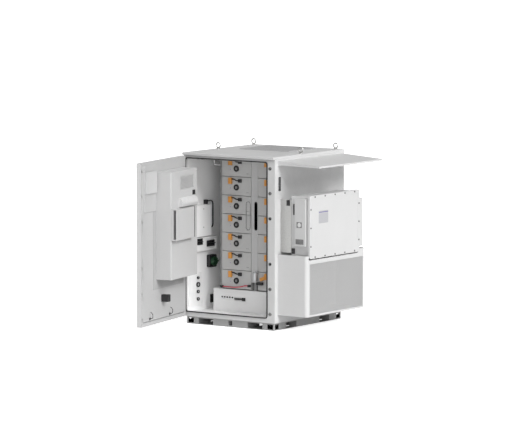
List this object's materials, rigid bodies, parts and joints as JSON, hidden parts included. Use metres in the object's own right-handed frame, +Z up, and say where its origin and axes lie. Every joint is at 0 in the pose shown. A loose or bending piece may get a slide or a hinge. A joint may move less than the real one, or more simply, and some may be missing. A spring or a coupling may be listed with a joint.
{
  "type": "battery cabinet",
  "caption": "Outdoor battery cabinet with an open front door carrying an air conditioner, stacked modules inside, a wall-hung inverter under a canopy and a perforated guard.",
  "frame": {"origin": "middle of the plinth underside, on the ground", "axes": "+Z up, -Y out of the door opening, +X out of the wall that carries the inverter"},
  "size_m": [1.95, 2.7933, 2.184],
  "materials": {
    "cabinet_paint": "fine textured powder coat, light grey",
    "inner_paint": "smooth powder coat, light grey",
    "base_paint": "powder coat, grey",
    "module_paint": "satin coat, warm grey",
    "zinc": "zinc-plated steel",
    "eye_steel": "bright zinc-plated steel",
    "seal_rubber": "matt black rubber",
    "black_plastic": "matt black plastic",
    "orange_plastic": "orange plastic",
    "green_plastic": "very dark green plastic",
    "white_metal": "fine textured powder coat, white",
    "white_plastic": "matt white plastic",
    "aluminium": "cast aluminium",
    "red_cable": "red cable sheath",
    "black_cable": "black cable sheath",
    "display_glass": "grey display panel",
    "light_bar": "smoked light cover"
  },
  "bodies": {
    "cabinet": {"base_plinth": "base_paint", "body_shell": "cabinet_paint", "front_frame": "cabinet_paint", "door_seal": "seal_rubber", "latch_keepers": "black_plastic", "roof_cover": "cabinet_paint", "roof_vent_panel": "cabinet_paint", "lifting_eyes": "eye_steel", "battery_modules_left": "module_paint", "battery_modules_right": "module_paint", "rack_frame": "inner_paint", "centre_post_cover": "inner_paint", "aerosol_canister": "aluminium", "high_voltage_box": "inner_paint", "orange_connectors": "orange_plastic", "module_plugs": "black_plastic", "link_cables": "black_cable", "red_power_cable": "red_cable", "control_box": "inner_paint", "breaker_unit": "white_plastic", "isolator_housing": "black_plastic", "socket_panel": "inner_paint", "panel_sockets": "black_plastic", "smoke_detector": "black_plastic", "ceiling_bracket": "zinc", "hinge_brackets": "zinc", "status_light_bar": "light_bar", "canopy": "cabinet_paint", "inverter_cover": "white_metal", "inverter_body": "white_metal", "inverter_display": "display_glass", "inverter_heat_sink": "aluminium", "inverter_brackets": "zinc", "switch_box": "white_metal", "fan_tray": "white_metal", "cable_glands": "black_plastic", "guard_skirt": "cabinet_paint", "perforated_panel": "cabinet_paint"},
    "door": {"door_leaf": "cabinet_paint", "door_liner": "inner_paint", "document_pocket": "inner_paint", "ac_housing": "inner_paint", "ac_gasket": "seal_rubber", "ac_return_grille": "inner_paint", "ac_outlet_duct": "inner_paint", "ac_air_hood": "white_plastic", "ac_controller": "black_plastic", "ac_outer_louvre": "cabinet_paint", "door_terminal_box": "black_plastic", "door_stay_hooks": "black_plastic", "handle_plate": "black_plastic", "hinge_leaves": "zinc"},
    "lock_handle": {"lock_handle": "black_plastic"},
    "lock_rod_upper": {"lock_rod_upper": "zinc"},
    "lock_rod_lower": {"lock_rod_lower": "zinc"},
    "main_breaker_lever": {"main_breaker_lever": "black_plastic"},
    "breaker_lever_front": {"breaker_lever_front": "black_plastic"},
    "breaker_lever_back": {"breaker_lever_back": "black_plastic"},
    "isolator_knob": {"isolator_knob": "green_plastic"},
    "dc_switch_knob": {"dc_switch_knob": "black_plastic"}
  },
  "joints": [
    {"name": "door_hinge", "type": "hinge", "parent": "cabinet", "child": "door", "pos_m": [-0.645, -0.792, 1.08], "axis": [0, 0, 1], "range_deg": [-41.3, 78.7]},
    {"name": "lock_handle_turn", "type": "hinge", "parent": "door", "child": "lock_handle", "pos_m": [-0.42929, -2.02463, 1.082], "axis": [0.9806, 0.1959, 0], "range_deg": [0, 90]},
    {"name": "lock_rod_upper_slide", "type": "slide", "parent": "door", "child": "lock_rod_upper", "axis": [0, 0, 1], "range_m": [0, 0.018]},
    {"name": "lock_rod_lower_slide", "type": "slide", "parent": "door", "child": "lock_rod_lower", "axis": [0, 0, -1], "range_m": [0, 0.018]},
    {"name": "main_breaker_toggle", "type": "hinge", "parent": "cabinet", "child": "main_breaker_lever", "pos_m": [-0.103, -0.41, 0.304], "axis": [1, 0, 0], "range_deg": [-22, 22]},
    {"name": "breaker_front_toggle", "type": "hinge", "parent": "cabinet", "child": "breaker_lever_front", "pos_m": [-0.578, -0.5525, 0.989], "axis": [0, 1, 0], "range_deg": [-30, 30]},
    {"name": "breaker_back_toggle", "type": "hinge", "parent": "cabinet", "child": "breaker_lever_back", "pos_m": [-0.578, -0.325, 0.954], "axis": [0, 1, 0], "range_deg": [-30, 30]},
    {"name": "isolator_turn", "type": "hinge", "parent": "cabinet", "child": "isolator_knob", "pos_m": [-0.568, -0.26, 0.729], "axis": [1, 0, 0], "range_deg": [0, 90]},
    {"name": "dc_switch_turn", "type": "hinge", "parent": "cabinet", "child": "dc_switch_knob", "pos_m": [0.975, -0.675, 1.296], "axis": [0, 1, 0], "range_deg": [0, 90]}
  ],
  "couplings": [
    {"joint": "lock_handle_turn", "follows": "lock_rod_upper_slide", "rad_per_m": 87.179},
    {"joint": "lock_rod_lower_slide", "follows": "lock_rod_upper_slide", "ratio": 1}
  ]
}
